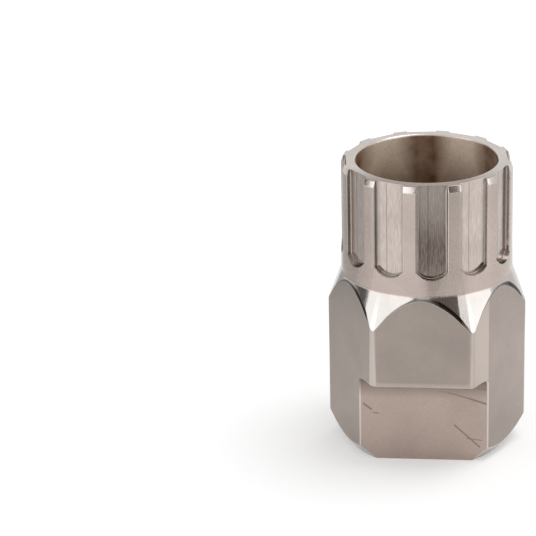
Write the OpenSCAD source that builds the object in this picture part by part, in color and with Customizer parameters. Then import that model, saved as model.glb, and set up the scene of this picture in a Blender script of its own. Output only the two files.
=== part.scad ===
// Cassette lockring tool: one turned, milled and plated steel body in millimetres.
// It stands on its drive end. Z = 0 is the drive end, +Z points to the splined end,
// and the hexagon face with the milled band looks along -Y.

/* [Body] */
// Height of the whole tool, drive end to splined rim
total_height = 40.9; // [38:0.1:46]
// Diameter of the round bar left standing at the hexagon's corners
bar_diameter = 27.1; // [26.2:0.1:27.3]
// Diameter of the flat face at the drive end
foot_diameter = 21.6; // [20:0.1:24]
// Height of the cone turned round the drive end
foot_bevel_height = 3.5; // [2:0.1:5]
// Diameter of the clear bore that takes the hub's axle
bore_diameter = 19.2; // [18.4:0.1:20.4]
// Depth of the clear bore below the splined rim
bore_depth = 24.5; // [20:0.1:26]
// Width of the broken edge round the mouth of the bore
bore_edge_break = 0.2; // [0.1:0.05:0.4]

/* [Hexagon] */
// Distance between opposite hexagon faces: a 24 mm wrench less its play
hex_flats = 23.7; // [23.5:0.1:25]
// Height at which the bar starts to taper towards the collar
taper_start_height = 20.4; // [17:0.1:21.5]
// Length of that taper, which cuts the domed top of each face
taper_length = 5; // [4:0.1:6]

/* [Splines] */
// Number of ribs round the splined end
rib_count = 12; // [8:1:12]
// Diameter over the ribs, and of the plain collar below them
spline_diameter = 23.4; // [22.8:0.1:23.6]
// Width of one rib at its outside
rib_width = 2; // [1.4:0.1:2.6]
// Depth of the pockets milled between the ribs
pocket_depth = 0.85; // [0.5:0.05:1]
// Length of each pocket below the rim
pocket_length = 13.2; // [10:0.1:14]
// Radius of each pocket's rounded lower end, as a share of the pocket's half width
pocket_end_share = 1.25; // [1.1:0.05:2]
// Height of the lead-in taper on the rib tips
rib_lead_height = 0.9; // [0.4:0.1:1.4]
// How far the lead-in taper narrows each rib tip towards the axis
rib_lead_inset = 0.3; // [0.15:0.05:0.6]
// Turn of the pocket pattern from the banded face, in degrees
spline_turn = 6.5; // [0:0.5:15]

/* [Milled band] */
// Depth of the band below its hexagon face
band_depth = 3.3; // [2:0.1:3.4]
// Height of the band's upper edge above the drive end
band_height = 12.1; // [9:0.1:13]
// Radius that the cutter leaves in the corner between the band's floor and its shoulder
band_corner_radius = 0.6; // [0.3:0.1:1.5]

/* [Square drive] */
// Side of the square drive, a half-inch ratchet size
drive_side = 12.7; // [12.3:0.1:13]
// Diameter of the lead-in cone at the mouth of the square
drive_lead_diameter = 15.4; // [13.6:0.1:16]

/* [Hidden] */
$fn = 96;
full_turn = 360;
hex_sides = 6;
overshoot = 1;

bar_radius = bar_diameter / 2;
foot_radius = foot_diameter / 2;
bore_radius = bore_diameter / 2;
spline_radius = spline_diameter / 2;
pocket_floor = spline_radius - pocket_depth;
lead_radius = spline_radius - rib_lead_inset;
collar_base_height = taper_start_height + taper_length;
bore_floor_height = total_height - bore_depth;

hex_half = hex_flats / 2;
hex_corner_radius = hex_half / cos(full_turn / hex_sides / 2);

pocket_pitch = full_turn / rib_count;
pocket_width = 2 * spline_radius * sin(pocket_pitch / 2) - rib_width;
pocket_half = pocket_width / 2;
pocket_end_radius = pocket_half * pocket_end_share;
pocket_base_height = total_height - pocket_length;
pocket_cut_depth = pocket_depth + overshoot;

band_floor = hex_half - band_depth;
band_cut_width = bar_diameter + 2 * overshoot;

drive_lead_radius = drive_lead_diameter / 2;

// Turned outline of the bar, before any milling: foot, bar, taper, collar and rib tips.
module turned_bar() {
    rotate_extrude()
        polygon([
            [0, 0],
            [foot_radius, 0],
            [bar_radius, foot_bevel_height],
            [bar_radius, taper_start_height],
            [spline_radius, collar_base_height],
            [spline_radius, total_height - rib_lead_height],
            [lead_radius, total_height],
            [0, total_height]
        ]);
}

// Room that the hexagon leaves: six flats below the collar, the full round above it.
module hexagon_envelope() {
    cylinder(h = collar_base_height, r = hex_corner_radius, $fn = hex_sides);
    translate([0, 0, collar_base_height])
        cylinder(h = total_height - collar_base_height, r = bar_radius);
}

// Flat shape of one pocket seen square on: straight walls and a rounded lower end.
module pocket_outline() {
    intersection() {
        translate([-pocket_half, 0])
            square([pocket_width, pocket_length + overshoot]);
        union() {
            translate([0, pocket_end_radius])
                circle(r = pocket_end_radius);
            translate([-pocket_width, pocket_end_radius])
                square([2 * pocket_width, pocket_length]);
        }
    }
}

// Pockets with flat floors, open at the rim, which leave the ribs standing between them.
module spline_pockets() {
    for (step = [0 : rib_count - 1])
        rotate([0, 0, step * pocket_pitch + spline_turn - full_turn / 4])
            translate([pocket_floor, 0, pocket_base_height])
                rotate([90, 0, 90])
                    linear_extrude(height = pocket_cut_depth)
                        pocket_outline();
}

// Band milled across one face from the drive end up to a square shoulder, with the cutter's small corner radius.
module milled_band() {
    translate([-band_cut_width / 2, -band_floor, 0])
        rotate([90, 0, 90])
            linear_extrude(height = band_cut_width)
                difference() {
                    translate([-bar_radius, -overshoot])
                        square([bar_radius, band_height + overshoot]);
                    band_corner();
                }
}

// Metal left in the band's inner corner, seen along the band: a small square less the cutter's round.
module band_corner() {
    difference() {
        translate([-band_corner_radius, band_height - band_corner_radius])
            square(band_corner_radius + overshoot);
        translate([-band_corner_radius, band_height - band_corner_radius])
            circle(r = band_corner_radius);
    }
}

// Axle bore from the rim, with its edge broken, and the square drive that meets it.
module openings() {
    translate([0, 0, bore_floor_height])
        cylinder(h = bore_depth + overshoot, r = bore_radius);
    translate([0, 0, total_height - bore_edge_break])
        cylinder(h = 2 * bore_edge_break, r1 = bore_radius, r2 = bore_radius + 2 * bore_edge_break);
    translate([-drive_side / 2, -drive_side / 2, -overshoot])
        cube([drive_side, drive_side, bore_floor_height + 2 * overshoot]);
    translate([0, 0, -overshoot])
        cylinder(h = drive_lead_radius + overshoot, r1 = drive_lead_radius + overshoot, r2 = 0);
}

module lockring_tool() {
    color([0.72, 0.70, 0.68])
        difference() {
            intersection() {
                turned_bar();
                hexagon_envelope();
            }
            spline_pockets();
            milled_band();
            openings();
        }
}

lockring_tool();
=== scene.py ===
"""Cassette lockring tool: the plated steel body with its rounded edges and worn finishes, on a pale studio floor."""
import math

import bpy
import numpy as np
from mathutils import Matrix, Vector


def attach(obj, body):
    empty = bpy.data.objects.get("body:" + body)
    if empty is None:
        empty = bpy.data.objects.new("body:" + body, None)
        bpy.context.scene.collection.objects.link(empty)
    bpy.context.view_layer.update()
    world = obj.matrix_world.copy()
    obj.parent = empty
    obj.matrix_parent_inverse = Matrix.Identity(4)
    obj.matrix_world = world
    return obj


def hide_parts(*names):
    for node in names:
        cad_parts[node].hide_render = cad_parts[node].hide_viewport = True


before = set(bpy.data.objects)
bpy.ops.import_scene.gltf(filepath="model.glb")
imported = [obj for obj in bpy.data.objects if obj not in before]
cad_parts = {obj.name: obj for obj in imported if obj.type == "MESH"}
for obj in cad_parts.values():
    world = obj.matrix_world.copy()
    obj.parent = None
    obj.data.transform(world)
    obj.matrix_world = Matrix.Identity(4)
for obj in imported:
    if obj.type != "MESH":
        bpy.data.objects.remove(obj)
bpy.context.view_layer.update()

MM = 0.001

# Sizes of the tool in millimetres, the same named values as the part's source.
total_height = 40.9
bar_radius = 13.55
foot_radius = 10.8
foot_bevel_height = 3.5
bore_radius = 9.6
bore_floor_height = 16.4
bore_edge_break = 0.2
hex_half = 11.85
taper_start_height = 20.4
collar_base_height = 25.4
rib_count = 12
spline_radius = 11.7
rib_width = 2.0
pocket_depth = 0.85
pocket_length = 13.2
pocket_end_share = 1.25
rib_lead_height = 0.9
rib_lead_inset = 0.3
spline_turn = 6.5
band_depth = 3.3
band_height = 12.1
band_corner_radius = 0.6
drive_half = 6.35
drive_lead_radius = 7.7

pocket_pitch = 360.0 / rib_count
pocket_floor = spline_radius - pocket_depth
pocket_half = spline_radius * math.sin(math.radians(pocket_pitch / 2)) - rib_width / 2
pocket_end_radius = pocket_half * pocket_end_share
pocket_base_height = total_height - pocket_length
band_floor = hex_half - band_depth
strip_angle = math.degrees(math.acos(hex_half / bar_radius))
foot_slope = foot_bevel_height / (bar_radius - foot_radius)
taper_slope = (collar_base_height - taper_start_height) / (bar_radius - spline_radius)
band_corner_height = band_height - band_corner_radius

# Columns in one pitch of the ribs: 2 + 2 at the pocket's walls, 5 across its floor and 3 across the rib.
floor_columns = 5
rib_columns = 3
pitch_columns = floor_columns + rib_columns + 4
column_step = pocket_pitch / pitch_columns
corner_rows = 4
face_share = 0.86
rim_wall_turn = 12.1
round_samples = np.linspace(0.0, 1.0, 5)


def wrapped(angles):
    """Angles in degrees brought to -180..180."""
    return (angles + 180.0) % 360.0 - 180.0


def body_radius(angles, distance):
    """Outside radius of the milled bar at each angle: the least of the bar's radius, the hexagon's half width
    over the cosine of the angle to the nearest face, and, near the front, the band's distance over its cosine."""
    turn = wrapped(angles)
    nearest = (turn + 30.0) % 60.0 - 30.0
    radius = np.minimum(bar_radius, hex_half / np.cos(np.radians(nearest)))
    front = distance / np.maximum(np.cos(np.radians(turn)), 0.3)
    return np.where(np.abs(turn) < 60.0, np.minimum(radius, front), radius)


def square_radius(angles):
    """Radius of the square drive at each angle: half its side over the larger of |sine| and |cosine|."""
    a = np.radians(angles)
    return drive_half / np.maximum(np.abs(np.sin(a)), np.abs(np.cos(a)))


def snapped(angles, wanted):
    """The column angles with the free column nearest to each wanted angle moved onto it, and those columns."""
    out = angles.copy()
    taken = []
    for w in wanted:
        gap = np.abs(wrapped(out - w))
        gap[taken] = 360.0
        i = int(np.argmin(gap))
        out[i] -= wrapped(out[i:i + 1] - w)[0]
        taken.append(i)
    return out, taken


def ring(angles, radius, height):
    """Points at the given angles from the front (-Y, positive towards +X), radii and heights, one per column."""
    a = np.radians(angles)
    r = radius + 0.0 * a
    return np.stack([r * np.sin(a), -r * np.cos(a), height + 0.0 * a], axis=1)


def band_edge(distance):
    """Angle from the front at which a cut at that distance meets the next hexagon face, or the round bar."""
    width = (hex_half - 0.5 * distance) / math.cos(math.radians(30.0))
    if math.hypot(width, distance) < bar_radius:
        return math.degrees(math.atan2(width, distance))
    return math.degrees(math.acos(distance / bar_radius))


floor_edge = band_edge(band_floor)


def drawn_in(angles):
    """Hexagon column angles with those inside each face drawn towards its middle, which leaves the corners room
    for their rounding."""
    middle = 60.0 * np.round(angles / 60.0)
    off = angles - middle
    return middle + np.where(np.abs(off) < strip_angle - 0.01, off * face_share, off)


def edge_moved(angles, distance):
    """Hexagon column angles with the two on the band floor's side edges moved to where a cut at that distance ends,
    and their neighbours between 35 and 52 degrees moved in step."""
    turn = wrapped(angles)
    edge = band_edge(distance)
    moved = np.interp(turn, [-52.0, -floor_edge, -35.0, 35.0, floor_edge, 52.0],
                      [-52.0, -edge, -35.0, 35.0, edge, 52.0])
    return np.where(np.abs(turn) < 52.0, moved, turn)


def pocket_ring(height, on_floor, rib_radius=spline_radius):
    """One ring of points through the ribs. A column stands at a sideways distance t from its pocket's middle line.
    On the ribs' radius r it lies sqrt(r^2 - t^2) along that line; on_floor moves the floor columns to the flat floor.
    height is a number, or None for the pocket's rounded end: base + R - sqrt(R^2 - t^2)."""
    across = np.concatenate([[-1.0, -1.0], np.linspace(-1.0, 1.0, floor_columns + 2)[1:-1], [1.0, 1.0]]) * pocket_half
    rib_from = math.degrees(math.asin(pocket_half / rib_radius))
    rib_turn = np.radians(np.linspace(rib_from, pocket_pitch - rib_from, rib_columns + 2)[1:-1])
    sideways = np.concatenate([across, rib_radius * np.sin(rib_turn)])
    forward = np.concatenate([np.sqrt(rib_radius ** 2 - across ** 2), rib_radius * np.cos(rib_turn)])
    if on_floor:
        forward[1:floor_columns + 3] = pocket_floor
    if height is None:
        limited = np.clip(sideways, -pocket_half, pocket_half)
        z = pocket_base_height + pocket_end_radius - np.sqrt(pocket_end_radius ** 2 - limited ** 2)
        z[floor_columns + 4:] = z[0]
    else:
        z = np.full(pitch_columns, height)
    centre = np.radians(spline_turn + pocket_pitch * np.arange(rib_count))[:, None]
    x = sideways[None, :] * np.cos(centre) + forward[None, :] * np.sin(centre)
    y = sideways[None, :] * np.sin(centre) - forward[None, :] * np.cos(centre)
    return np.stack([x, y, np.broadcast_to(z, x.shape)], axis=2).reshape(-1, 3)


def rounded(points, chosen, reach, axis):
    """Rounds a closed grid of points along one axis. Each chosen line becomes five: a quadratic curve
    (1-s)^2 A + 2s(1-s) P + s^2 B from A to B, at most reach before and after the corner P. Returns the new grid,
    the source line of each new line, and which lines lie inside a curve."""
    grid = points if axis == 0 else points.transpose(1, 0, 2)
    limit = (reach if axis == 0 else reach.T)[:, :, None]
    before = np.roll(grid, 1, axis=0) - grid
    after = np.roll(grid, -1, axis=0) - grid
    before_length = np.linalg.norm(before, axis=2, keepdims=True)
    after_length = np.linalg.norm(after, axis=2, keepdims=True)
    start = grid + before / np.maximum(before_length, 1e-9) * np.minimum(limit, 0.45 * before_length)
    stop = grid + after / np.maximum(after_length, 1e-9) * np.minimum(limit, 0.45 * after_length)
    curved = np.isin(np.arange(len(grid)), list(chosen))
    count = np.where(curved, len(round_samples), 1)
    source = np.repeat(np.arange(len(grid)), count)
    share = round_samples[np.arange(len(source)) - (np.cumsum(count) - count)[source]]
    s = share[:, None, None]
    start, stop = (np.where(curved[:, None, None], end, grid)[source] for end in (start, stop))
    out = (1 - s) ** 2 * start + 2 * s * (1 - s) * grid[source] + s ** 2 * stop
    inside = curved[source] & (share > 0.0) & (share < 1.0)
    return (out if axis == 0 else out.transpose(1, 0, 2)), source, inside


def tool_grid():
    """The whole skin as one closed grid, columns round the axis by rows along the section: up the outside from the
    foot, over the rim, down the bore, across its floor, down the square drive and back across the foot. On the bore's
    edge the columns of a pocket's walls stand just outside its width, so that no face on the rim folds over."""
    even = (spline_turn + pocket_pitch * np.arange(rib_count)[:, None]
            + column_step * (np.arange(pitch_columns)[None, :] - 4)).reshape(-1)
    corners = [30.0 + 60.0 * k + side * (30.0 - strip_angle) for k in range(6) for side in (-1, 1)]
    hexagon, hex_columns = snapped(even, corners)
    hexagon, edge_columns = snapped(drawn_in(hexagon), [-floor_edge, floor_edge])
    foot_break = math.degrees(math.acos(band_floor / foot_radius))
    low, _ = snapped(hexagon, [-foot_break, foot_break])
    lead_break = math.degrees(math.acos(drive_half / drive_lead_radius))
    square_corners = [45.0 + 90.0 * k for k in range(4)]
    square, square_columns = snapped(even, square_corners + [
        90.0 * k + side * lead_break for k in range(4) for side in (-1, 1)])

    low_radius = body_radius(low, band_floor)
    rows = [ring(low, np.minimum(low_radius, foot_radius), 0.0),
            ring(low, low_radius, foot_slope * np.maximum(low_radius - foot_radius, 0.0)),
            ring(hexagon, body_radius(hexagon, band_floor), band_corner_height)]
    names = ["foot", "foot_bevel", "band_flat"]
    for i in range(1, corner_rows + 1):
        sweep = 0.5 * math.pi * i / corner_rows
        distance = band_floor + band_corner_radius * (1.0 - math.cos(sweep))
        turned = edge_moved(hexagon, distance)
        rows.append(ring(turned, body_radius(turned, distance),
                         band_corner_height + band_corner_radius * math.sin(sweep)))
        names.append("band_corner")
    rows.append(ring(turned, body_radius(turned, hex_half), band_height))
    names.append("panel_edge")
    hex_radius = body_radius(hexagon, hex_half)
    rows.append(ring(hexagon, hex_radius, collar_base_height - taper_slope * (hex_radius - spline_radius)))
    rows.append(ring(hexagon, spline_radius, collar_base_height))
    names += ["dome", "collar"]
    rows.append(pocket_ring(None, False))
    rows.append(pocket_ring(None, True))
    rows.append(pocket_ring(total_height - rib_lead_height, True))
    rows.append(pocket_ring(total_height, True, spline_radius - rib_lead_inset))
    names += ["pocket_end", "pocket_floor", "lead", "tip"]
    across = np.concatenate([[-rim_wall_turn - 0.25, -rim_wall_turn], np.linspace(-7.0, 7.0, floor_columns),
                             [rim_wall_turn, rim_wall_turn + 0.25], np.linspace(13.7, 16.3, rib_columns)])
    rim = (spline_turn + pocket_pitch * np.arange(rib_count)[:, None] + across[None, :]).reshape(-1)
    rows.append(ring(rim, bore_radius + bore_edge_break, total_height))
    rows.append(ring(rim, bore_radius, total_height - bore_edge_break))
    rows.append(ring(square, bore_radius, bore_floor_height))
    inner = square_radius(square)
    rows.append(ring(square, inner, bore_floor_height))
    rows.append(ring(square, inner, np.maximum(drive_lead_radius - inner, 0.0)))
    rows.append(ring(square, np.maximum(inner, drive_lead_radius), 0.0))
    names += ["rim", "bore", "bore_floor", "drive", "drive_lead", "mouth"]
    return (np.stack(rows, axis=1), names, hex_columns + edge_columns, square_columns[:4], wrapped(hexagon))


row_rounding = {"foot": 0.15, "foot_bevel": 0.16, "band_flat": 0.0, "band_corner": 0.0, "panel_edge": 0.35, "dome": 0.12,
                "collar": 0.2, "pocket_end": 0.08, "pocket_floor": 0.1, "lead": 0.12, "tip": 0.1, "rim": 0.07,
                "bore": 0.07, "bore_floor": 0.3, "drive": 0.15, "drive_lead": 0.1, "mouth": 0.1}
column_rounding = {"foot": 0.22, "foot_bevel": 0.22, "band_flat": 0.22, "band_corner": 0.22, "panel_edge": 0.22,
                   "dome": 0.22, "collar": 0.1, "pocket_end": 0.08, "pocket_floor": 0.3, "lead": 0.3, "tip": 0.07,
                   "rim": 0.05, "bore": 0.05, "bore_floor": 0.1, "drive": 0.12, "drive_lead": 0.12, "mouth": 0.12}
# The corner at the panel's left is rounded more, most of all on the face beside it. Each row gives the reach at
# 31 and 29 degrees to the left and 29 to the right.
panel_rounding = {"panel_edge": (0.55, 0.4, 0.18), "dome": (0.55, 0.15, 0.12)}
# Reach of the rounding of each face's domed edge, at its left end, its top and its right end.
arc_places = [-28.0, 0.0, 12.0]
arc_rounding = [0.12, 0.24, 0.5]

# Painted shade along the same domed edge, at its left end, its top and its right end.
arc_painted_shade = [0.25, 0.6, 1.0]

FLAT, BAND, TURNED, COLLAR, POCKET, RIM, BORE, DRIVE, FOOT = range(9)
row_finish = {"foot": TURNED, "foot_bevel": FLAT, "band_flat": FLAT, "band_corner": FLAT, "panel_edge": FLAT,
              "dome": TURNED, "collar": COLLAR, "pocket_end": COLLAR, "pocket_floor": COLLAR, "lead": RIM, "tip": RIM,
              "rim": RIM, "bore": BORE, "bore_floor": BORE, "drive": DRIVE, "drive_lead": DRIVE, "mouth": FOOT}


def without_doubles(quads):
    """Splits quads of point numbers into true quads and, where two neighbours are the same point, triangles; the
    rest, which closed up to a line, are left out. Returns both and the rows that each came from."""
    a, b, c, d = quads.T
    apart = (a != c) & (b != d)
    equal = np.stack([a == b, b == c, c == d, d == a], axis=1)
    whole = apart & ~equal.any(axis=1)
    single = apart & (equal.sum(axis=1) == 1)
    drop = np.argmax(equal, axis=1)[:, None]
    keep = (drop + np.arange(1, 4)[None, :]) % 4
    triangles = np.take_along_axis(quads, keep, axis=1)[single]
    return quads[whole], triangles, np.nonzero(whole)[0], np.nonzero(single)[0]


def build_body():
    """The finished body as one closed mesh: the grid rounded along its columns and rows, equal points made one,
    quads that closed up dropped or turned into triangles. Point values: edge_wear_and_painted_light, 1 on the worn
    corners, which also carry a painted highlight, and less than 0 where painted shade sits on a dome's edge, and
    pocket_across, the sideways place in a pocket in millimetres."""
    grid, names, edge_columns, square_columns, hexagon = tool_grid()
    columns, rows = grid.shape[:2]
    position = np.arange(columns) % pitch_columns
    wall_columns = [i for i in range(columns) if position[i] in (0, 1, floor_columns + 2, floor_columns + 3)]
    chosen = set(edge_columns) | set(square_columns) | set(wall_columns)
    reach = np.array([column_rounding[n] for n in names])[None, :] * np.ones((columns, 1))
    for name, (beside, left, right) in panel_rounding.items():
        reach[np.abs(hexagon + 60.0 - strip_angle) < 0.02, names.index(name)] = beside
        reach[np.abs(hexagon + strip_angle) < 0.02, names.index(name)] = left
        reach[np.abs(hexagon - strip_angle) < 0.02, names.index(name)] = right
    grid, column_source, in_column_curve = rounded(grid, chosen, reach, 0)
    reach = np.array([row_rounding[n] for n in names])[None, :] * np.ones((len(grid), 1))
    side = (hexagon - 60.0 * np.round(hexagon / 60.0))[column_source]
    on_corner = np.abs(np.abs(side) - 30.0) < 30.5 - strip_angle
    reach[:, names.index("dome")] = np.where(on_corner, row_rounding["dome"], np.interp(side, arc_places, arc_rounding))
    rounded_rows = {i for i, n in enumerate(names) if row_rounding[n] > 0.0}
    grid, row_source, in_row_curve = rounded(grid, rounded_rows, reach, 1)

    columns, rows = grid.shape[:2]
    points, index = np.unique(np.round(grid.reshape(-1, 3), 4), axis=0, return_inverse=True)
    index = index.reshape(columns, rows)
    right = np.roll(index, -1, axis=0)
    quads = np.stack([index, right, np.roll(right, -1, axis=1), np.roll(index, -1, axis=1)], axis=2).reshape(-1, 4)

    row_of = np.array([row_finish[names[i]] for i in row_source])[None, :]
    finish = np.broadcast_to(row_of, (columns, rows)).copy()
    in_pitch = position[column_source][:, None]
    in_pocket = (in_pitch >= 0) & (in_pitch < floor_columns + 3)
    above_end = np.isin(row_source, [names.index("pocket_end"), names.index("pocket_floor"), names.index("lead")])
    finish[in_pocket & above_end[None, :]] = POCKET
    on_band = np.abs(hexagon[column_source]) < floor_edge - 0.01
    start_edge = np.abs(hexagon[column_source] + floor_edge) < 0.02
    band_rows = (row_source >= names.index("foot_bevel")) & (row_source < names.index("panel_edge"))
    finish[(on_band | start_edge)[:, None] & band_rows[None, :]] = BAND
    finish = finish.reshape(-1)

    squares, triangles, square_rows, triangle_rows = without_doubles(quads)
    mesh = bpy.data.meshes.new("lockring_tool_body")
    mesh.from_pydata((points * MM).tolist(), [], squares.tolist() + triangles.tolist())
    slots = np.concatenate([finish[square_rows], finish[triangle_rows]]).astype(np.int32)
    mesh.polygons.foreach_set("material_index", slots)
    mesh.polygons.foreach_set("use_smooth", np.ones(len(slots), dtype=bool))
    mesh.update()

    normals = mean_normals(mesh)
    # Worn corners, brightened as wear and as a painted highlight.
    wear_and_painted_light = np.maximum(turned_corner(grid, normals[index], 0) * in_column_curve[:, None],
                      turned_corner(grid, normals[index], 1) * in_row_curve[None, :])
    corner = np.abs(np.abs(hexagon[column_source]) - 30.0) < 30.5 - strip_angle
    outermost = np.ones(columns, dtype=bool)
    outermost[1:-1] = ~(corner[:-2] & corner[2:])
    lowest = np.where(np.abs(hexagon[column_source]) < 46.0, names.index("panel_edge"), names.index("foot_bevel"))
    bar_rows = (row_source[None, :] >= lowest[:, None]) & (row_source <= names.index("dome"))[None, :]
    wear_and_painted_light[(corner & ~outermost)[:, None] & bar_rows] = 1.0
    beside = np.abs(np.abs(hexagon[column_source]) - 39.0) < 7.5
    wear_and_painted_light[beside[:, None] & (row_source == names.index("panel_edge"))[None, :]] *= 0.25
    # Painted shade along each dome's edge, stored below 0 and strongest at its right end.
    arc = ~on_corner[:, None] & (in_row_curve & (row_source == names.index("dome")))[None, :]
    wear_and_painted_light = np.where(arc, -np.interp(side, arc_places, arc_painted_shade)[:, None], wear_and_painted_light)
    add_point_value(mesh, "edge_wear_and_painted_light", index, wear_and_painted_light)
    turn = np.degrees(np.arctan2(grid[:, :, 0], -grid[:, :, 1])) - spline_turn
    turn = (turn + 0.5 * pocket_pitch) % pocket_pitch - 0.5 * pocket_pitch
    add_point_value(mesh, "pocket_across", index, np.hypot(grid[:, :, 0], grid[:, :, 1]) * np.sin(np.radians(turn)))
    mesh.normals_split_custom_set_from_vertices(normals.tolist())
    return mesh


def mean_normals(mesh):
    """The area-weighted mean normal of each point's faces, so that flats stay flat beside their rounded edges."""
    faces = len(mesh.polygons)
    areas = np.zeros(faces)
    mesh.polygons.foreach_get("area", areas)
    normals = np.zeros(faces * 3)
    mesh.polygons.foreach_get("normal", normals)
    corner = np.zeros(len(mesh.loops), dtype=np.int64)
    mesh.loops.foreach_get("vertex_index", corner)
    total = np.zeros(faces, dtype=np.int64)
    mesh.polygons.foreach_get("loop_total", total)
    face = np.repeat(np.arange(faces), total)
    mean = np.zeros((len(mesh.vertices), 3))
    np.add.at(mean, corner, normals.reshape(-1, 3)[face] * areas[face, None])
    return mean / np.maximum(np.linalg.norm(mean, axis=1, keepdims=True), 1e-20)


def turned_corner(grid, normals, axis):
    """How sharply the grid turns about a convex corner at each point, across one axis: the part of the turn that
    leans along the normal, 0 below 4 degrees and 1 above 8."""
    ahead = np.roll(grid, -1, axis=axis) - grid
    behind = grid - np.roll(grid, 1, axis=axis)
    ahead_length = np.linalg.norm(ahead, axis=2, keepdims=True)
    behind_length = np.linalg.norm(behind, axis=2, keepdims=True)
    bend = ahead / np.maximum(ahead_length, 1e-6) - behind / np.maximum(behind_length, 1e-6)
    lean = -np.sum(bend * normals, axis=2)
    lean[(ahead_length[:, :, 0] < 1e-4) | (behind_length[:, :, 0] < 1e-4)] = 0.0
    return np.clip((np.degrees(lean) - 4.0) / 4.0, 0.0, 1.0)


def add_point_value(mesh, name, index, values):
    """Writes one value for each point of the mesh; where grid points were made one, the largest counts."""
    out = np.full(len(mesh.vertices), -1e9)
    np.maximum.at(out, index.reshape(-1), values.reshape(-1))
    layer = mesh.attributes.new(name, "FLOAT", "POINT")
    layer.data.foreach_set("value", out.astype(np.float32))


# Colour of the painted shade along the domes' edges.
painted_shade_colour = (0.028, 0.022, 0.018)


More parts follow.
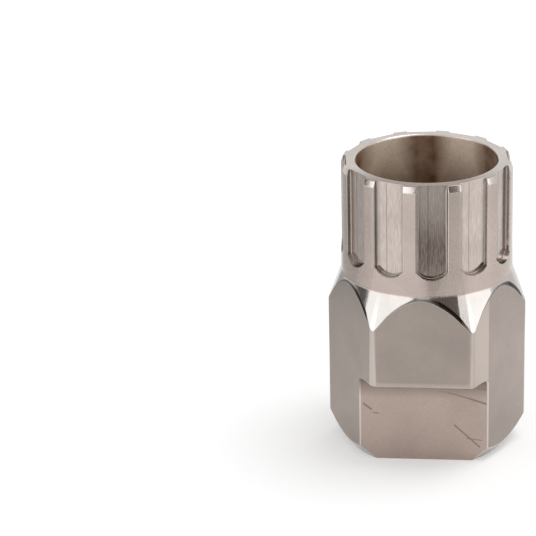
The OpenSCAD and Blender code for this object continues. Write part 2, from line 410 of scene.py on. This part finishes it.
def plated_finish(name, colour, dark_colour, roughness, mottle=0.25, grain=0.25, grain_scale=7000.0,
                  grain_stretch=(1, 1, 1), ring_marks=0.0, wear_and_highlight_colour=(0.6, 0.562, 0.531), bump=0.02, metallic=1.0,
                  mark=None, mark_colour=None):
    """Plated steel. The colour drifts between two tones by a soft cloud, a fine stretched grain changes roughness
    and relief, ring_marks adds a lathe's rings along Z, and edge_wear_and_painted_light, broken up by the cloud,
    brightens the worn corners towards wear_and_highlight_colour, as wear and as a painted highlight; below 0 it darkens
    them with painted shade.
    mark(nodes, links, place) may give a 0..1 value that takes the colour to mark_colour."""
    material = bpy.data.materials.new(name)
    material.use_nodes = True
    nodes, links = material.node_tree.nodes, material.node_tree.links
    shader = nodes["Principled BSDF"]
    shader.inputs["Metallic"].default_value = metallic
    place = nodes.new("ShaderNodeTexCoord")

    cloud = nodes.new("ShaderNodeTexNoise")
    cloud.inputs["Scale"].default_value = 190.0
    cloud.inputs["Detail"].default_value = 5.0
    cloud.inputs["Roughness"].default_value = 0.6
    links.new(place.outputs["Object"], cloud.inputs["Vector"])

    stretch = nodes.new("ShaderNodeMapping")
    stretch.inputs["Scale"].default_value = grain_stretch
    links.new(place.outputs["Object"], stretch.inputs["Vector"])
    fine = nodes.new("ShaderNodeTexNoise")
    fine.inputs["Scale"].default_value = grain_scale
    fine.inputs["Detail"].default_value = 3.0
    links.new(stretch.outputs["Vector"], fine.inputs["Vector"])

    tone = nodes.new("ShaderNodeMix")
    tone.data_type = "RGBA"
    tone.inputs["A"].default_value = (*dark_colour, 1.0)
    tone.inputs["B"].default_value = (*colour, 1.0)
    cloud_range = nodes.new("ShaderNodeMapRange")
    cloud_range.inputs["From Min"].default_value = 0.5 - 0.5 * mottle
    cloud_range.inputs["From Max"].default_value = 0.5 + 0.5 * mottle
    links.new(cloud.outputs["Fac"], cloud_range.inputs["Value"])
    links.new(cloud_range.outputs["Result"], tone.inputs["Factor"])

    speckle = nodes.new("ShaderNodeMapRange")
    speckle.inputs["From Min"].default_value = 0.35
    speckle.inputs["From Max"].default_value = 0.65
    speckle.inputs["To Min"].default_value = 1.0 - grain
    speckle.inputs["To Max"].default_value = 1.0 + 0.4 * grain
    links.new(fine.outputs["Fac"], speckle.inputs["Value"])
    grained = nodes.new("ShaderNodeVectorMath")
    grained.operation = "SCALE"
    links.new(tone.outputs["Result"], grained.inputs[0])
    links.new(speckle.outputs["Result"], grained.inputs["Scale"])

    wear_and_painted_light = nodes.new("ShaderNodeAttribute")
    wear_and_painted_light.attribute_name = "edge_wear_and_painted_light"
    broken = nodes.new("ShaderNodeMapRange")
    broken.inputs["From Min"].default_value = 0.35
    broken.inputs["From Max"].default_value = 0.5
    broken.inputs["To Min"].default_value = 0.55
    links.new(cloud.outputs["Fac"], broken.inputs["Value"])
    amount = multiplied(nodes, links, wear_and_painted_light.outputs["Fac"], broken.outputs["Result"])
    # Worn corners take the wear colour: real wear and a painted highlight.
    worn_and_highlit = nodes.new("ShaderNodeMix")
    worn_and_highlit.data_type = "RGBA"
    worn_and_highlit.inputs["B"].default_value = (*wear_and_highlight_colour, 1.0)
    links.new(amount, worn_and_highlit.inputs["Factor"])
    links.new(grained.outputs["Vector"], worn_and_highlit.inputs["A"])
    # Below 0 the value darkens the colour with painted shade.
    painted_shade_mix = nodes.new("ShaderNodeMix")
    painted_shade_mix.data_type = "RGBA"
    painted_shade_mix.inputs["B"].default_value = (*painted_shade_colour, 1.0)
    links.new(multiplied(nodes, links, wear_and_painted_light.outputs["Fac"], -1.0), painted_shade_mix.inputs["Factor"])
    links.new(worn_and_highlit.outputs["Result"], painted_shade_mix.inputs["A"])
    colour_out = painted_shade_mix.outputs["Result"]
    if mark is not None:
        marked = nodes.new("ShaderNodeMix")
        marked.data_type = "RGBA"
        marked.inputs["B"].default_value = (*mark_colour, 1.0)
        links.new(mark(nodes, links, place), marked.inputs["Factor"])
        links.new(colour_out, marked.inputs["A"])
        colour_out = marked.outputs["Result"]
    links.new(colour_out, shader.inputs["Base Color"])

    gloss = nodes.new("ShaderNodeMapRange")
    gloss.inputs["From Min"].default_value = 0.3
    gloss.inputs["From Max"].default_value = 0.7
    gloss.inputs["To Min"].default_value = roughness * 0.82
    gloss.inputs["To Max"].default_value = roughness * 1.2
    links.new(fine.outputs["Fac"], gloss.inputs["Value"])
    links.new(gloss.outputs["Result"], shader.inputs["Roughness"])

    relief = nodes.new("ShaderNodeBump")
    relief.inputs["Strength"].default_value = bump * 10.0
    relief.inputs["Distance"].default_value = 0.00002
    links.new(fine.outputs["Fac"], relief.inputs["Height"])
    if ring_marks > 0.0:
        rings = nodes.new("ShaderNodeMapping")
        rings.inputs["Scale"].default_value = (0.02, 0.02, 1.0)
        links.new(place.outputs["Object"], rings.inputs["Vector"])
        turned = nodes.new("ShaderNodeTexNoise")
        turned.inputs["Scale"].default_value = 3500.0
        turned.inputs["Detail"].default_value = 2.0
        links.new(rings.outputs["Vector"], turned.inputs["Vector"])
        lathe = nodes.new("ShaderNodeBump")
        lathe.inputs["Strength"].default_value = ring_marks
        lathe.inputs["Distance"].default_value = 0.00003
        links.new(turned.outputs["Fac"], lathe.inputs["Height"])
        links.new(lathe.outputs["Normal"], relief.inputs["Normal"])
    links.new(relief.outputs["Normal"], shader.inputs["Normal"])
    return material


def multiplied(nodes, links, first, second):
    """The product of two values; second may be a plain number."""
    return combined(nodes, links, "MULTIPLY", first, second)


def combined(nodes, links, operation, first, second, third=0.0):
    """Two values, or a value and a plain number, put together by a Math node, with a third number where it takes
    one."""
    node = nodes.new("ShaderNodeMath")
    node.operation = operation
    links.new(first, node.inputs[0])
    if isinstance(second, float):
        node.inputs[1].default_value = second
    else:
        links.new(second, node.inputs[1])
    node.inputs[2].default_value = third
    return node.outputs["Value"]


def faded(nodes, links, value, none_at, full_at):
    """0 where the value is none_at, 1 where it is full_at, even between them and held beyond."""
    node = nodes.new("ShaderNodeMapRange")
    node.inputs["From Min"].default_value = none_at
    node.inputs["From Max"].default_value = full_at
    links.new(value, node.inputs["Value"])
    return node.outputs["Result"]


def place_axes(nodes, links, place):
    """The object's own x, y and z, in metres."""
    split = nodes.new("ShaderNodeSeparateXYZ")
    links.new(place.outputs["Object"], split.inputs["Vector"])
    return split.outputs["X"], split.outputs["Y"], split.outputs["Z"]


def stroke(nodes, links, place, start, stop, half_width):
    """A straight scratch on the band's floor from start to stop, x and z in metres: 1 on its line, falling to 0 at
    half_width from it. The nearest place on the line is start + t (stop - start), with t held between 0 and 1."""
    a, b = Vector((start[0], 0.0, start[1])), Vector((stop[0], 0.0, stop[1]))
    flat = nodes.new("ShaderNodeVectorMath")
    flat.operation = "MULTIPLY"
    flat.inputs[1].default_value = (1.0, 0.0, 1.0)
    links.new(place.outputs["Object"], flat.inputs[0])
    off = nodes.new("ShaderNodeVectorMath")
    off.operation = "SUBTRACT"
    off.inputs[1].default_value = a
    links.new(flat.outputs["Vector"], off.inputs[0])
    along = nodes.new("ShaderNodeVectorMath")
    along.operation = "DOT_PRODUCT"
    along.inputs[1].default_value = (b - a) / (b - a).length_squared
    links.new(off.outputs["Vector"], along.inputs[0])
    held = nodes.new("ShaderNodeClamp")
    links.new(along.outputs["Value"], held.inputs["Value"])
    reach = nodes.new("ShaderNodeVectorMath")
    reach.operation = "SCALE"
    reach.inputs[0].default_value = b - a
    links.new(held.outputs["Result"], reach.inputs["Scale"])
    gap = nodes.new("ShaderNodeVectorMath")
    gap.operation = "DISTANCE"
    links.new(off.outputs["Vector"], gap.inputs[0])
    links.new(reach.outputs["Vector"], gap.inputs[1])
    return faded(nodes, links, gap.outputs["Value"], half_width, 0.3 * half_width)


# Scratches on the band's floor: start and end (x, z) and half width, in millimetres.
band_scratches = [((4.2, 5.25), (7.63, 2.07), 0.17), ((3.4, 10.1), (6.36, 9.23), 0.14), ((6.3, 9.25), (8.52, 8.52), 0.2),
                  ((1.9, 10.3), (3.9, 10.0), 0.08), ((5.9, 3.3), (7.9, 3.05), 0.1), ((-8.2, 8.2), (-7.2, 7.4), 0.2),
                  ((-6.9, 6.9), (-6.2, 6.8), 0.12), ((7.2, 10.8), (8.5, 10.7), 0.34), ((4.6, 10.9), (6.0, 10.6), 0.12)]
scratch_depth = 0.65
# Painted shade in the band's inner corner: the heights where it starts and is full, in millimetres, and its strength.
band_shade_from, band_shade_full, band_shade = 9.2, 11.6, 0.75


def band_marks(nodes, links, place):
    """The band's scratches, and painted shade in its inner corner under the panel's ledge, darker towards the top: the
    strongest of them at each place.
    """
    painted_shade = faded(nodes, links, place_axes(nodes, links, place)[2], band_shade_from * MM, band_shade_full * MM)
    total = multiplied(nodes, links, painted_shade, band_shade)
    for start, stop, half_width in band_scratches:
        line = stroke(nodes, links, place, [v * MM for v in start], [v * MM for v in stop], half_width * MM)
        total = combined(nodes, links, "MAXIMUM", total, multiplied(nodes, links, line, scratch_depth))
    return total


pocket_mark_across, pocket_mark_half_width = -0.55, 0.07
# Painted shade beside a pocket's walls: none and full at these sideways places, in millimetres.
pocket_shade_from, pocket_shade_full = 1.35, 1.9


def pocket_marks(nodes, links, place):
    """The line that the cutter left along each pocket's floor beside its middle, and painted shade beside its walls
    and at its rounded end, which lies at base + R - sqrt(R^2 - t^2) for the sideways place t read from pocket_across."""
    across = nodes.new("ShaderNodeAttribute")
    across.attribute_name = "pocket_across"
    line = nodes.new("ShaderNodeMath")
    line.operation = "COMPARE"
    line.inputs[1].default_value = pocket_mark_across
    line.inputs[2].default_value = pocket_mark_half_width
    links.new(across.outputs["Fac"], line.inputs[0])
    side = nodes.new("ShaderNodeMath")
    side.operation = "ABSOLUTE"
    links.new(across.outputs["Fac"], side.inputs[0])
    walls = faded(nodes, links, side.outputs["Value"], pocket_shade_from, pocket_shade_full)
    square = combined(nodes, links, "MULTIPLY", across.outputs["Fac"], across.outputs["Fac"])
    rest = combined(nodes, links, "MULTIPLY_ADD", square, -1.0, pocket_end_radius ** 2)
    curve = combined(nodes, links, "POWER", rest, 0.5)
    height = combined(nodes, links, "MULTIPLY_ADD", place_axes(nodes, links, place)[2], 1.0 / MM,
                      -(pocket_base_height + pocket_end_radius))
    above = combined(nodes, links, "ADD", height, curve)
    end = faded(nodes, links, above, 0.5, 0.15)
    # Painted shade beside the walls and at the rounded end.
    painted_shade = combined(nodes, links, "MAXIMUM", multiplied(nodes, links, walls, 0.5), multiplied(nodes, links, end, 0.75))
    return combined(nodes, links, "MAXIMUM", multiplied(nodes, links, line.outputs["Value"], 0.6), painted_shade)


# The box inside the panel's frame of painted highlight, less its corners' radius: half its width and its lower end's
# height.
frame_inside, frame_above = 5.7, 13.4


def painted_highlight_strip_and_frame(nodes, links, place):
    """Painted highlight: a lighter strip on the face to the right of the panel, above the band and in front of its
    floor's depth, and a fainter frame round the panel's lower part, which starts at a distance from a box with
    rounded corners."""
    x, y, z = place_axes(nodes, links, place)
    side = faded(nodes, links, x, 6.65 * MM, 6.8 * MM)
    depth = faded(nodes, links, y, -(band_floor - 0.15) * MM, -(band_floor + 0.05) * MM)
    above = faded(nodes, links, z, 11.9 * MM, 12.2 * MM)
    strip = multiplied(nodes, links, multiplied(nodes, links, side, depth), above)
    front = faded(nodes, links, y, -(hex_half - 0.5) * MM, -(hex_half - 0.4) * MM)
    offset = place.outputs["Object"]
    for operation, value in (("ABSOLUTE", None), ("MULTIPLY", (1.0, 0.0, -1.0)),
                             ("SUBTRACT", (frame_inside * MM, 0.0, -frame_above * MM)), ("MAXIMUM", (0.0, 0.0, 0.0)),
                             ("LENGTH", None)):
        node = nodes.new("ShaderNodeVectorMath")
        node.operation = operation
        links.new(offset, node.inputs[0])
        if value is not None:
            node.inputs[1].default_value = value
        offset = node.outputs["Value" if operation == "LENGTH" else "Vector"]
    frame_part = faded(nodes, links, offset, 0.45 * MM, 0.8 * MM)
    edge = multiplied(nodes, links, multiplied(nodes, links, front, frame_part), 0.6)
    return combined(nodes, links, "MAXIMUM", strip, multiplied(nodes, links, edge, above))


def bore_painted_shade(nodes, links, place):
    """Brown painted shade in the bore, which leaves lighter zones between: a band down the far wall, the two edges
    beside it and the deeper part, broken up by a noise.
    """
    x, y, z = place_axes(nodes, links, place)
    across = combined(nodes, links, "ADD", x, 0.0007)
    width = nodes.new("ShaderNodeMath")
    width.operation = "ABSOLUTE"
    links.new(across, width.inputs[0])
    middle = faded(nodes, links, width.outputs["Value"], 3.9 * MM, 1.2 * MM)
    edges = faded(nodes, links, width.outputs["Value"], 6.6 * MM, 8.6 * MM)
    low = faded(nodes, links, z, 38.2 * MM, 33.5 * MM)
    clouds = nodes.new("ShaderNodeTexNoise")
    clouds.inputs["Scale"].default_value = 420.0
    clouds.inputs["Detail"].default_value = 4.0
    links.new(place.outputs["Object"], clouds.inputs["Vector"])
    patchy = nodes.new("ShaderNodeMapRange")
    patchy.inputs["From Min"].default_value = 0.3
    patchy.inputs["From Max"].default_value = 0.7
    patchy.inputs["To Min"].default_value = 0.7
    links.new(clouds.outputs["Fac"], patchy.inputs["Value"])
    sides = combined(nodes, links, "MAXIMUM", middle, edges)
    both = combined(nodes, links, "MAXIMUM", sides, multiplied(nodes, links, low, 0.8))
    return multiplied(nodes, links, both, patchy.outputs["Result"])


def rim_front_painted_shade(nodes, links, place):
    """Painted shade on the front part of the flat rim, which makes it darker than the rest: from 4 to 9 mm in front of
    the axis.
    """
    x, y, z = place_axes(nodes, links, place)
    front = faded(nodes, links, y, -4.0 * MM, -9.0 * MM)
    flat = faded(nodes, links, z, (total_height - 0.12) * MM, (total_height - 0.04) * MM)
    return multiplied(nodes, links, multiplied(nodes, links, front, flat), 0.75)


finishes = {
    # Flats: mark_colour is the painted highlight beside and round the panel.
    FLAT: plated_finish("satin_nickel_wrench_flats", (0.366, 0.312, 0.279), (0.335, 0.286, 0.256), 0.33, grain=0.1,
                        mark=painted_highlight_strip_and_frame, mark_colour=(0.474, 0.404, 0.362)),
    # Band: mark_colour serves both the real scratches and the painted shade in its inner corner.
    BAND: plated_finish("milled_nickel_band", (0.444, 0.354, 0.309), (0.407, 0.326, 0.284), 0.33, grain=0.07,
                        grain_stretch=(0.35, 1.0, 1.0), mark=band_marks, mark_colour=(0.127, 0.102, 0.0886)),
    TURNED: plated_finish("bright_turned_cones", (0.47, 0.447, 0.427), (0.424, 0.4, 0.381), 0.13, grain=0.05,
                          ring_marks=0.1),
    COLLAR: plated_finish("satin_nickel_ribs", (0.531, 0.447, 0.403), (0.485, 0.41, 0.37), 0.24, grain=0.07,
                          ring_marks=0.06),
    # Pocket floors: mark_colour serves both the cutter's line and the painted shade.
    POCKET: plated_finish("milled_pocket_floors", (0.593, 0.516, 0.47), (0.527, 0.458, 0.416), 0.15, grain=0.15,
                          grain_scale=7500.0, grain_stretch=(1.0, 1.0, 0.1), mark=pocket_marks,
                          mark_colour=(0.223, 0.196, 0.181)),
    # Rim: mark_colour is painted shade on its front part.
    RIM: plated_finish("bright_rim", (0.554, 0.504, 0.47), (0.501, 0.454, 0.424), 0.2, grain=0.06, mark=rim_front_painted_shade,
                       mark_colour=(0.193, 0.142, 0.108)),
    # Bore: mark_colour is painted shade, which leaves lighter zones to the left and right.
    BORE: plated_finish("bore_with_painted_shade", (0.97, 0.84, 0.70), (0.86, 0.72, 0.57), 0.42, grain=0.2, ring_marks=0.05,
                        wear_and_highlight_colour=(0.666, 0.612, 0.558), metallic=0.35, mark=bore_painted_shade,
                        mark_colour=(0.167, 0.0666, 0.0234)),
    DRIVE: plated_finish("dull_broached_drive", (0.447, 0.37, 0.3), (0.354, 0.285, 0.223), 0.36, grain=0.2,
                         grain_stretch=(1.0, 1.0, 0.15), wear_and_highlight_colour=(0.57, 0.539, 0.493), metallic=0.7),
    FOOT: plated_finish("bright_turned_foot", (0.477, 0.439, 0.408), (0.431, 0.397, 0.37), 0.24, grain=0.06),
}

body = bpy.data.objects.new("tool_body", build_body())
bpy.context.scene.collection.objects.link(body)
for number in sorted(finishes):
    body.data.materials.append(finishes[number])
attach(body, "root")
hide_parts("lockring_tool")


def add_plane(name, corners, material):
    """A four-cornered sheet for the studio, which isn't part of the tool."""
    mesh = bpy.data.meshes.new(name)
    mesh.from_pydata(corners, [], [(0, 1, 2, 3)])
    mesh.materials.append(material)
    sheet = bpy.data.objects.new(name, mesh)
    bpy.context.scene.collection.objects.link(sheet)
    return sheet


def seen_by_eye_or_metal(nodes, links):
    """1 for the camera's rays and for those that metal or glass reflects or lets through, 0 for all others."""
    ray = nodes.new("ShaderNodeLightPath")
    mirrored = combined(nodes, links, "MAXIMUM", ray.outputs["Is Glossy Ray"], ray.outputs["Is Transmission Ray"])
    return combined(nodes, links, "MAXIMUM", ray.outputs["Is Camera Ray"], mirrored)


def white_paper():
    """Matt white paper. To the camera it also glows a little, so that its unshaded part is plain white and the
    tool's shadow stays; all other rays see only the lit paper."""
    material = bpy.data.materials.new("white_paper_floor")
    material.use_nodes = True
    nodes, links = material.node_tree.nodes, material.node_tree.links
    nodes.clear()
    paper = nodes.new("ShaderNodeBsdfDiffuse")
    paper.inputs["Color"].default_value = (0.8, 0.8, 0.8, 1.0)
    glow = nodes.new("ShaderNodeEmission")
    glow.inputs["Color"].default_value = (1.0, 1.0, 1.0, 1.0)
    amount = nodes.new("ShaderNodeMath")
    amount.operation = "MULTIPLY"
    amount.inputs[1].default_value = paper_glow
    links.new(seen_by_eye_or_metal(nodes, links), amount.inputs[0])
    links.new(amount.outputs["Value"], glow.inputs["Strength"])
    both = nodes.new("ShaderNodeAddShader")
    links.new(paper.outputs["BSDF"], both.inputs[0])
    links.new(glow.outputs["Emission"], both.inputs[1])
    out = nodes.new("ShaderNodeOutputMaterial")
    links.new(both.outputs["Shader"], out.inputs["Surface"])
    return material


paper_glow = 0.26
floor_reach = 1.6
add_plane("studio_floor", [(-floor_reach, -floor_reach, 0), (floor_reach, -floor_reach, 0),
                           (floor_reach, floor_reach, 0), (-floor_reach, floor_reach, 0)], white_paper())


def add_card(name, turn_from, turn_to, low, high, distance, strength, colour=(1.0, 1.0, 1.0)):
    """A card that only reflections see: a sheet facing the tool between two angles from the front (-Y, positive
    towards +X) and two heights, in metres. Strength 1 is paper white; 0 is black."""
    material = bpy.data.materials.new(name + "_paper")
    material.use_nodes = True
    nodes, links = material.node_tree.nodes, material.node_tree.links
    nodes.clear()
    glow = nodes.new("ShaderNodeEmission")
    glow.inputs["Color"].default_value = (*colour, 1.0)
    glow.inputs["Strength"].default_value = strength
    out = nodes.new("ShaderNodeOutputMaterial")
    links.new(glow.outputs["Emission"], out.inputs["Surface"])
    a, b = math.radians(turn_from), math.radians(turn_to)
    card = add_plane(name, [(distance * math.sin(a), -distance * math.cos(a), low),
                            (distance * math.sin(b), -distance * math.cos(b), low),
                            (distance * math.sin(b), -distance * math.cos(b), high),
                            (distance * math.sin(a), -distance * math.cos(a), high)], material)
    card.visible_camera = False
    card.visible_diffuse = False
    card.visible_shadow = False
    card.visible_transmission = False
    return card


add_card("left_white_card", -77, -15, 0.04, 0.42, 0.6, 2.08)
add_card("left_gap_card", -15, -9, 0.04, 0.42, 0.6, 0.156)
add_card("left_dark_card", -125, -77, 0.04, 0.42, 0.61, 0.156)
add_card("dark_gap_card", 6, 47, 0.0, 0.5, 0.62, 0.221, (1.0, 0.82, 0.74))
add_card("right_white_card", 47, 92, 0.04, 0.42, 0.6, 2.21)
add_card("back_white_card", 135, 225, 0.05, 0.6, 0.6, 1.04)
add_card("high_left_card", -95, -45, 0.45, 0.95, 0.6, 1.56)
add_card("high_right_card", 50, 100, 0.45, 0.95, 0.6, 1.56)


def add_floor_shade(name, turn_from, turn_to, near, far, strength, colour=(1.0, 1.0, 1.0)):
    """Painted shade on the floor near the tool, seen only in reflections: a glowing sheet just above the floor
    between two angles from the front and two distances from the axis, in metres. Above strength 1 it is painted light."""
    a, b = math.radians(turn_from), math.radians(turn_to)
    shade = add_card(name, turn_from, turn_to, 0.0, 0.1, near, strength, colour)
    corners = np.array([[near * math.sin(a), -near * math.cos(a), shade_height],
                        [near * math.sin(b), -near * math.cos(b), shade_height],
                        [far * math.sin(b), -far * math.cos(b), shade_height],
                        [far * math.sin(a), -far * math.cos(a), shade_height]])
    shade.data.vertices.foreach_set("co", corners.reshape(-1))
    return shade


shade_height = 0.0005
# Sheets of painted shade on the floor, seen only in reflections, and at the right one of painted light.
add_floor_shade("dark_front_shade", 2, 19, 0.076, 0.101, 0.162, (1.0, 0.78, 0.66))
add_floor_shade("grey_front_shade", 2, 19, 0.101, 0.25, 0.545)
add_floor_shade("pale_front_shade", 19, 50, 0.070, 0.25, 0.779)
add_floor_shade("left_shade", -95, -70, 0.066, 0.25, 0.779)
add_floor_shade("back_left_shade", -145, -95, 0.066, 0.25, 0.584)
add_floor_shade("back_right_shade", 95, 145, 0.066, 0.25, 0.97)
add_floor_shade("right_painted_light_sheet", 98, 146, 0.014, 0.062, 1.27)
add_floor_shade("left_near_shade", -146, -98, 0.014, 0.062, 0.88)

world = bpy.data.worlds.new("studio")
bpy.context.scene.world = world
world.use_nodes = True
sky_nodes, sky_links = world.node_tree.nodes, world.node_tree.links
sky = sky_nodes["Background"]
sky.inputs["Color"].default_value = (1.0, 1.0, 1.0, 1.0)
level = sky_nodes.new("ShaderNodeMapRange")
level.inputs["To Min"].default_value = 0.75
level.inputs["To Max"].default_value = 1.0
sky_links.new(seen_by_eye_or_metal(sky_nodes, sky_links), level.inputs["Value"])
sky_links.new(level.outputs["Result"], sky.inputs["Strength"])


def add_sun(name, place, strength, degrees):
    """A soft distant window: a sun shining from a place towards the tool, as wide as the given angle."""
    data = bpy.data.lights.new(name, "SUN")
    data.energy = strength
    data.angle = math.radians(degrees)
    lamp = bpy.data.objects.new(name, data)
    lamp.location = place
    lamp.rotation_mode = "QUATERNION"
    lamp.rotation_quaternion = (-Vector(place)).to_track_quat("-Z", "Y")
    bpy.context.scene.collection.objects.link(lamp)
    return lamp


add_sun("high_window", (0.25, 0.1, 0.8), 0.9, 33)


def add_camera():
    """The photograph's camera: in front of the tool and above it, turned so that the tool's middle falls on its
    place in the 536 by 536 frame, with the tool's axis upright there."""
    frame_pixels = 536.0
    focal_pixels = 2719.0
    tool_pixel = (426.7, 300.9)
    distance, elevation, azimuth = 0.375, math.radians(22.62), math.radians(2.73)
    target = Vector((0.0, 0.0, 0.020))
    back = Vector((math.sin(azimuth) * math.cos(elevation), -math.cos(azimuth) * math.cos(elevation),
                   math.sin(elevation)))
    right = (-back).cross(Vector((0, 0, 1))).normalized()
    up = right.cross(-back)
    looking = Matrix((right, up, back)).transposed()
    seen = Vector(((tool_pixel[0] - frame_pixels / 2) / focal_pixels,
                   -(tool_pixel[1] - frame_pixels / 2) / focal_pixels, -1.0)).normalized()
    swing = seen.rotation_difference(Vector((0, 0, -1))).to_matrix()
    data = bpy.data.cameras.new("photo_camera")
    data.sensor_width = 36.0
    data.lens = focal_pixels / frame_pixels * data.sensor_width
    data.clip_start = 0.01
    data.clip_end = 20.0
    camera = bpy.data.objects.new("photo_camera", data)
    camera.matrix_world = Matrix.Translation(target + back * distance) @ (looking @ swing).to_4x4()
    bpy.context.scene.collection.objects.link(camera)
    bpy.context.scene.camera = camera
    return camera


add_camera()

bpy.context.scene.view_settings.view_transform = "Standard"
